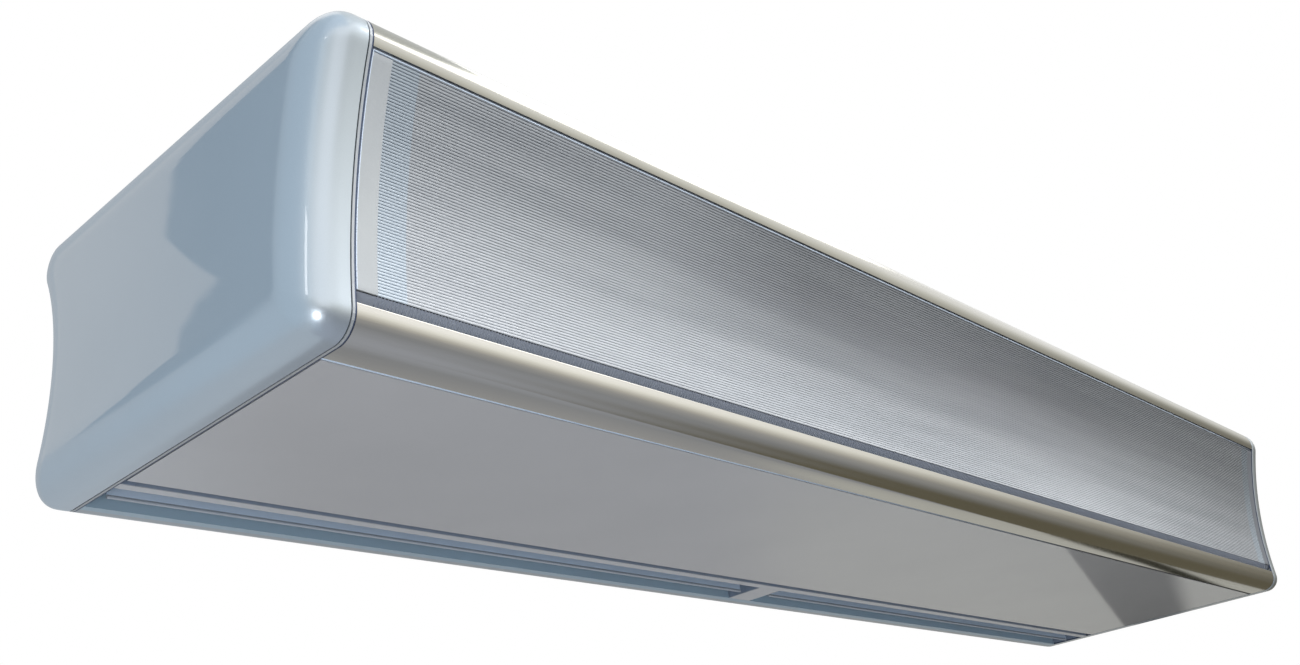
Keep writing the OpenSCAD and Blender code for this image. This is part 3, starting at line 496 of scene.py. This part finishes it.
def top_rail():
    g = front_y(GRILLE_TOP)
    loop = top_run(0.0, RAIL_BACK, GRILLE_TOP)
    loop += [v2(g + LEDGE, GRILLE_TOP), v2(g + LEDGE, GRILLE_TOP + RAIL_T)]
    loop += top_run(RAIL_T, RAIL_BACK - RAIL_T, GRILLE_TOP + RAIL_T)[::-1]
    loop += [v2(RAIL_BACK - RAIL_T, ROOF_Z - RAIL_T), v2(RAIL_BACK + LEDGE, ROOF_Z - RAIL_T),
             v2(RAIL_BACK + LEDGE, ROOF_Z), v2(RAIL_BACK, ROOF_Z)]
    # The top rail's darker finish is painted shade.
    return mesh_object("rail_top", *extrusion([fillet(loop, 0.8)], -RAIL_END, RAIL_END), "rail_metal",
                       finish="rail_top_painted_shade")


def nose_rail():
    g = front_y(NOSE_LIP)
    edge, back = 24.5, NOSE_W - SEAM_STEP
    loop = nose_run(0.0, NOSE_LIP, back)
    loop += [v2(back, edge), v2(back - RAIL_T, edge)]
    loop += nose_run(RAIL_T, NOSE_LIP - RAIL_T, back - RAIL_T)[::-1]
    loop += [v2(g + LEDGE + RAIL_T, NOSE_LIP - RAIL_T), v2(g + LEDGE + RAIL_T, NOSE_LIP)]
    return mesh_object("rail_nose", *extrusion([fillet(loop, 0.8)], -RAIL_END, RAIL_END), "rail_metal")


def nose_seam():
    """Bevelled edge strip between the nose rail and the service panel; its pale blue is a painted highlight
    that fades to painted shade towards the right.
    """
    a, b = NOSE_W - SEAM_STEP, NOSE_W - 0.1
    loop = [v2(a, 2.4), v2(b, 0.15), v2(b, 4.0), v2(a, 4.0)]
    return mesh_object("nose_seam", *extrusion([fillet(loop, 0.3)], -RAIL_END, RAIL_END), "rail_metal",
                       finish="seam_painted_light")


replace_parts(nose_seam(), "nose_rail")
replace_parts(top_rail(), "top_rail")
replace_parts(nose_rail(), "nose_rail")


def back_panel():
    loop = back_run(0.0, BACK_FOOT, TOP_BACK)
    loop += [v2(TOP_BACK, ROOF_Z - LEDGE), v2(TOP_BACK + SHEET_T, ROOF_Z - LEDGE)]
    loop += back_run(SHEET_T, BACK_FOOT, TOP_BACK + SHEET_T)[::-1]
    return mesh_object("panel_back", *extrusion([fillet(loop, 0.4)], -RAIL_END, RAIL_END), "body_paint")


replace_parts(back_panel(), "back_panel")


# ------------------------------------------------------------------ intake grille
def tube_rows(paths, half_w, verts, faces):
    """Adds flat-sided wires: each path is (x, points on the outside, points on the inside)."""
    for x, front, back in paths:
        base, n = len(verts), len(front)
        for f, b in zip(front, back):
            verts += [place(x - half_w, f.x, f.y), place(x + half_w, f.x, f.y),
                      place(x + half_w, b.x, b.y), place(x - half_w, b.x, b.y)]
        for i in range(n - 1):
            k = base + 4 * i
            faces += [(k + j, k + (j + 1) % 4, k + 4 + (j + 1) % 4, k + 4 + j) for j in range(4)]
        faces += [(base, base + 3, base + 2, base + 1),
                  (base + 4 * n - 4, base + 4 * n - 3, base + 4 * n - 2, base + 4 * n - 1)]


HEAD = GRILLE_TOP - HEAD_GAP
NET_TOP = HEAD - HEM - GROOVE
NET_END = GRILLE_END - STRIP_W
FOOT = NOSE_LIP + SEAT


def sheet_band(d, t, top, low, n=40):
    return front_run(d, top, low, n) + front_run(d + t, top, low, n)[::-1]


def grille_net():
    """Fine bars along the casing and upright wires behind them."""
    verts, faces = [], []
    count = int((NET_TOP - GRILLE_LOW) / BAR_PITCH)
    bars = []
    for i in range(count + 1):
        z = GRILLE_LOW + BAR_PITCH * (i + 0.4)
        c = v2(front_y(z, GRILLE_D), z)
        out = (c - f_c).normalized()
        side = v2(-out.y, out.x) * BAR_HALF
        bars.append(fillet([c - side, c + side, c + side + out * BAR_T, c - side + out * BAR_T], 0.25, 2))
    extrusion(bars, -NET_END - 1, NET_END + 1, verts, faces)
    d = GRILLE_D + GRILLE_T
    outer = front_run(GRILLE_D + BAR_T - 0.1, NET_TOP, GRILLE_LOW, 10)
    inner = front_run(d, NET_TOP, GRILLE_LOW, 10)
    n = int(4 * NET_END / WIRE_PITCH)
    tube_rows([(NET_END * (2 * i / n - 1), outer, inner) for i in range(n + 1)],
              WIRE_HALF, verts, faces)
    return mesh_object("grille_net", verts, faces, "grille_metal", angle=50, finish="grille_mesh")


def grille_ledge():
    """Foot folded back under the net, with its upright ribs, and the groove under the hem; their darker
    finish is painted shade.
    """
    verts, faces = [], []
    g0, g1 = front_y(GRILLE_LOW, GRILLE_D), front_y(GRILLE_LOW, GRILLE_D + GRILLE_T)
    fold = [v2(g0 + 1, GRILLE_LOW - 1), v2(g0 + 9, FOOT), v2(g0 + 9.8, FOOT), v2(g1 + 1, GRILLE_LOW - 1)]
    groove = sheet_band(GRILLE_D + GRILLE_T, 0.4, GRILLE_TOP - 0.2, NET_TOP - 0.2, 4)
    extrusion([fold, groove], -GRILLE_END, GRILLE_END, verts, faces)
    n = int(2 * NET_END / WIRE_PITCH)
    rib = [v2(g0, GRILLE_LOW - 0.5), v2(g0 + 8, FOOT)], [v2(g1, GRILLE_LOW - 0.5), v2(g0 + 9.2, FOOT)]
    tube_rows([(NET_END * (2 * i / n - 1), *rib) for i in range(n + 1)], RIB_HALF, verts, faces)
    return mesh_object("grille_ledge", verts, faces, "grille_metal", angle=50, finish="ledge_painted_shade")


def grille_strips():
    """Closed strip at each end of the net."""
    verts, faces = [], []
    band = fillet(sheet_band(GRILLE_D, GRILLE_T, NET_TOP, GRILLE_LOW), 0.3)
    for s in (-1, 1):
        a, b = sorted((s * NET_END, s * (GRILLE_END - HEM)))
        extrusion([band], a, b, verts, faces)
    return mesh_object("grille_strips", verts, faces, "grille_metal", angle=50)


def grille_hem():
    """Hem along the top and up both ends; its brightness is a painted highlight."""
    verts, faces = [], []
    extrusion([fillet(sheet_band(GRILLE_D - 0.3, GRILLE_T, HEAD, HEAD - HEM, 3), 0.5)],
              -GRILLE_END, GRILLE_END, verts, faces)
    side = fillet(sheet_band(GRILLE_D - 0.2, GRILLE_T, HEAD - HEM, GRILLE_LOW), 0.3)
    for s in (-1, 1):
        a, b = sorted((s * (GRILLE_END - HEM), s * GRILLE_END))
        extrusion([side], a, b, verts, faces)
    return mesh_object("grille_hem", verts, faces, "grille_metal", angle=50, finish="hem_painted_light")


for piece in (grille_net(), grille_ledge(), grille_strips(), grille_hem()):
    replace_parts(piece, "intake_grille")


def grille_backing(side, name):
    """Light sheet close behind the net at each end."""
    d = GRILLE_D + GRILLE_T + BACKING_GAP
    a, b = sorted((side * (HALF - PLATE_T - BACKING_W), side * (HALF - PLATE_T)))
    loop = fillet(sheet_band(d, 0.8, GRILLE_TOP - 1, GRILLE_LOW + 1), 0.2)
    return mesh_object(name, *extrusion([loop], a, b), "light_sheet")


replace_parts(grille_backing(-1, "backing_left"), "left_grille_backing")
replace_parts(grille_backing(1, "backing_right"), "right_grille_backing")


# ------------------------------------------------------------------ stage, lights, camera
# What a polished part shows by height above eye level, in degrees.
HEIGHTS = ((-60, (0.33, 0.35, 0.40)), (-25, (0.24, 0.25, 0.27)), (-8, (0.33, 0.33, 0.33)),
           (0, (0.46, 0.45, 0.42)), (8, (0.64, 0.63, 0.59)), (18, (0.86, 0.86, 0.82)), (30, (1.0, 1.0, 1.0)))
WALL_BROWN = (0.11, 0.10, 0.07)
WALL_DARK = (0.02, 0.02, 0.015)
PALE_FLOOR = (0.40, 0.39, 0.36)
FLOOR_PALE = (0.42, 0.42, 0.39)
SIDE_GREY = (0.46, 0.50, 0.54)
SIDE_BLUE = (0.47, 0.56, 0.64)
PALE = (0.66, 0.66, 0.66)
DUSK_BLUE = (0.10, 0.18, 0.26)
HIGH_GREY = (0.66, 0.68, 0.68)
EDGE_GREY = (0.55, 0.54, 0.50)
SKY_GREY = (0.60, 0.69, 0.78)
SOFT = 0.14
# The dusky part beside the left cap has one bulge in its edge, in degrees: how far it leans out,
# and the elevations where it begins, is widest and ends.
DUSK_LEAN, DUSK_BULGE = -1.0, 2.5
DUSK_BEGIN, DUSK_WIDEST, DUSK_END = 24, 28, 29.5


def stage_floor():
    mat, nt, bsdf = nodes_of("floor")
    fine = noise(nt, 3.0, 3.0)
    nt.links.new(blend_colour(nt, spread(nt, fine, 0, 1), (0.47, 0.46, 0.44), (0.50, 0.49, 0.47)),
                 bsdf.inputs["Base Color"])
    bsdf.inputs["Roughness"].default_value = 0.8
    me = bpy.data.meshes.new("floor")
    n, r = 64, 9.0
    me.from_pydata([(r * math.cos(math.tau * i / n), r * math.sin(math.tau * i / n), -2.5) for i in range(n)],
                   [], [tuple(range(n))])
    ob = bpy.data.objects.new("floor", me)
    bpy.context.scene.collection.objects.link(ob)
    me.materials.append(mat)
    ob.visible_glossy = False


def area(name, at, to, size, power, colour, mirrored=True, shape="RECTANGLE"):
    light = bpy.data.lights.new(name, "AREA")
    light.shape = shape
    light.size = size[0]
    if shape == "RECTANGLE":
        light.size_y = size[1]
    light.energy = power
    light.color = colour
    ob = bpy.data.objects.new(name, light)
    ob.location = at
    ob.rotation_euler = (Vector(to) - Vector(at)).to_track_quat("-Z", "Y").to_euler()
    ob.visible_glossy = mirrored
    bpy.context.scene.collection.objects.link(ob)


def ramp(nt, value, a, b):
    """0 below a, 1 above b, soft between."""
    m = nt.nodes.new("ShaderNodeMapRange")
    m.interpolation_type = "SMOOTHSTEP"
    m.inputs["From Min"].default_value = min(a, b)
    m.inputs["From Max"].default_value = max(a, b)
    m.inputs["To Min"].default_value = 0.0 if a < b else 1.0
    m.inputs["To Max"].default_value = 1.0 if a < b else 0.0
    nt.links.new(value, m.inputs["Value"])
    return m.outputs[0]


def bulge(nt, rise):
    """Lean of the dusky part's edge: out to the widest elevation and back again."""
    out = spread(nt, rise, 0.0, deg(DUSK_BULGE),
                 deg(DUSK_BEGIN), deg(DUSK_WIDEST))
    back = spread(nt, rise, 0.0, deg(-DUSK_BULGE),
                  deg(DUSK_WIDEST), deg(DUSK_END))
    return math_node(nt, "ADD", math_node(nt, "ADD", out, back), deg(DUSK_LEAN))


def world():
    """White studio: white for the camera, the same white with darker walls for reflections."""
    w = bpy.data.worlds.new("studio")
    bpy.context.scene.world = w
    w.use_nodes = True
    nt = w.node_tree
    nt.nodes.clear()
    coord = nt.nodes.new("ShaderNodeTexCoord")
    split = nt.nodes.new("ShaderNodeSeparateXYZ")
    nt.links.new(coord.outputs["Generated"], split.inputs[0])
    turn = math_node(nt, "ARCTAN2", split.outputs[1], split.outputs[0])
    rise = math_node(nt, "ARCSINE", split.outputs[2])
    tex = nt.nodes.new("ShaderNodeTexNoise")
    tex.inputs["Scale"].default_value = 24.0
    nt.links.new(coord.outputs["Generated"], tex.inputs["Vector"])
    drift = math_node(nt, "MULTIPLY", math_node(nt, "SUBTRACT", tex.outputs["Fac"], 0.5), 0.03)

    def box(az0, az1, el0, el1, turn, rise):
        (a, b), (c, d) = az0, az1
        m = math_node(nt, "MULTIPLY", ramp(nt, turn, deg(a), deg(b)), ramp(nt, turn, deg(d), deg(c)))
        (a, b), (c, d) = el0, el1
        m = math_node(nt, "MULTIPLY", m, ramp(nt, rise, deg(a), deg(b)))
        return math_node(nt, "MULTIPLY", m, ramp(nt, rise, deg(d), deg(c)))

    def patch(tone, colour, turn, *edges):
        """A part of the room: edges are azimuth in and out and height in and out, in degrees."""
        return blend_colour(nt, box(*edges, turn, rise), tone, colour)

    scale = nt.nodes.new("ShaderNodeMapRange")
    scale.inputs["From Min"].default_value = deg(HEIGHTS[0][0])
    scale.inputs["From Max"].default_value = deg(HEIGHTS[-1][0])
    nt.links.new(rise, scale.inputs["Value"])
    bands = nt.nodes.new("ShaderNodeValToRGB")
    nt.links.new(scale.outputs[0], bands.inputs[0])
    stops = bands.color_ramp.elements
    span = HEIGHTS[-1][0] - HEIGHTS[0][0]
    for i, (height, colour) in enumerate(HEIGHTS):
        at = (height - HEIGHTS[0][0]) / span
        stop = stops[0] if i == 0 else stops[-1] if i == len(HEIGHTS) - 1 else stops.new(at)
        stop.position = at
        stop.color = (*colour, 1)
    tone = bands.outputs["Color"]
    held = math_node(nt, "MINIMUM", math_node(nt, "MAXIMUM", rise, deg(-13.5)), deg(-8.0))
    skew = math_node(nt, "ADD", turn, math_node(nt, "MULTIPLY", held, 0.42))
    wall = box((-45, -15), (18.6, 18.8), (-56, -32), (6, 30), skew, rise)
    tone = blend_colour(nt, wall, tone, WALL_BROWN)
    wall_foot = blend_colour(nt, wall, PALE_FLOOR, WALL_DARK)
    tone = patch(tone, wall_foot, turn, (14, 18), (30, 31), (-14, -13), (-4, 0))
    tone = patch(tone, FLOOR_PALE, skew, (18.6, 18.8), (28, 34), (-20, -15), (-8, -4))
    tone = patch(tone, FLOOR_PALE, turn, (5, 15), (19.6, 20.6), (-13, -11.5), (-4, 0))
    tone = patch(tone, (1.0, 1.0, 1.0), turn, (-145, -125), (-100, -85), (-5, 8), (38, 44))
    lean = bulge(nt, rise)
    bent_turn = math_node(nt, "SUBTRACT", math_node(nt, "ADD", turn, drift), lean)
    tone = patch(tone, SIDE_GREY, turn, (56, 66), (181, 182), (-70, -60), (45, 60))
    tone = patch(tone, SIDE_BLUE, turn, (120, 128), (181, 182), (-45, -20), (84, 90))
    tone = blend_colour(nt, ramp(nt, turn, deg(-125), deg(-185)), tone, SIDE_BLUE)
    tone = patch(tone, SKY_GREY, turn, (-183, -182), (-104, -90), (34, 42), (89, 90))
    tone = patch(tone, PALE, bent_turn, (104, 108), (118.2, 118.8), (14, 18), (60, 70))
    dusk = box((118.2, 118.8), (123, 130), (14, 18), (60, 70), bent_turn, rise)
    tone = blend_colour(nt, dusk, tone, DUSK_BLUE)
    tone = patch(tone, HIGH_GREY, turn, (-104, -90), (60, 70), (47.5, 50), (89, 90))
    tone = patch(tone, EDGE_GREY, turn, (38, 39.5), (50, 56), (5, 10), (27, 29))
    out = nt.nodes.new("ShaderNodeOutputWorld")
    path = nt.nodes.new("ShaderNodeLightPath")
    soft, mirror, white = (nt.nodes.new("ShaderNodeBackground") for _ in range(3))
    soft.inputs["Color"].default_value = (0.82, 0.90, 1.0, 1)
    soft.inputs["Strength"].default_value = SOFT
    nt.links.new(tone, mirror.inputs["Color"])
    mirror.inputs["Strength"].default_value = 1.0
    white.inputs["Color"].default_value = (1, 1, 1, 1)
    shiny = math_node(nt, "MAXIMUM", path.outputs["Is Glossy Ray"], path.outputs["Is Transmission Ray"])
    first, second = nt.nodes.new("ShaderNodeMixShader"), nt.nodes.new("ShaderNodeMixShader")
    nt.links.new(shiny, first.inputs[0])
    nt.links.new(soft.outputs[0], first.inputs[1])
    nt.links.new(mirror.outputs[0], first.inputs[2])
    nt.links.new(path.outputs["Is Camera Ray"], second.inputs[0])
    nt.links.new(first.outputs[0], second.inputs[1])
    nt.links.new(white.outputs[0], second.inputs[2])
    nt.links.new(second.outputs[0], out.inputs[0])


CAMERA_AT = (-1.51109, -0.99074, -0.72575)
PAN, TILT, ROLL = 49.70, 24.71, -7.61
SENSOR, LENS = 36.0, 36.60


def camera():
    """Stands where the straight edges and the cap's outline of the picture put it."""
    pan, tilt, roll = deg(PAN), deg(TILT), deg(ROLL)
    fwd = Vector((math.sin(pan) * math.cos(tilt), math.cos(pan) * math.cos(tilt), math.sin(tilt)))
    right = Vector((math.cos(pan), -math.sin(pan), 0.0))
    up = right.cross(fwd)
    r2 = math.cos(roll) * right + math.sin(roll) * up
    u2 = -math.sin(roll) * right + math.cos(roll) * up
    cam = bpy.data.cameras.new("camera")
    cam.sensor_width, cam.lens = SENSOR, LENS
    ob = bpy.data.objects.new("camera", cam)
    ob.matrix_world = Matrix.Translation(Vector(CAMERA_AT)) @ \
        Matrix((r2, u2, -fwd)).transposed().to_4x4()
    bpy.context.scene.collection.objects.link(ob)
    bpy.context.scene.camera = ob


stage_floor()
world()
# Name, place, what it points at, size, power, colour, and whether polished parts mirror it.
area("key", (-2.8, -2.0, 2.4), (-0.6, 0, -0.15), (1.6, 1.6), 50, (1.0, 0.99, 0.98), False)
area("front", (0.8, -2.3, 3.0), (0.5, -0.2, -0.15), (4.5, 1.5), 340, (1.0, 0.99, 0.98), False)
area("flash", (-1.707, -0.756, -0.76), (-0.95, -0.25, -0.2), (0.4, 0.4), 2.6, (1.0, 1.0, 1.0), True, "DISK")
area("glint", (-3.53, -1.155, 1.14), (-1.0, -0.24, -0.2), (0.3, 0.12), 0.35, (1.0, 1.0, 1.0))
area("top", (2.35, -1.2, 3.0), (2.35, -1.2, 0), (2.5, 4.5), 62.5, (1.0, 0.99, 0.97))
area("top_left", (0.25, -1.2, 3.0), (0.25, -1.2, 0), (1.7, 4.5), 42.5, (1.0, 0.99, 0.97), False)
area("low", (-0.6, 0.25, -2.1), (-0.6, 0.2, 0.0), (1.4, 1.0), 5, (0.98, 0.98, 1.0), False)
area("sky", (-2.1, -2.5, -1.3), (-0.4, 0, -0.2), (1.4, 1.0), 14, (0.72, 0.86, 1.0), False)
camera()
bpy.context.scene.view_settings.view_transform = "Standard"
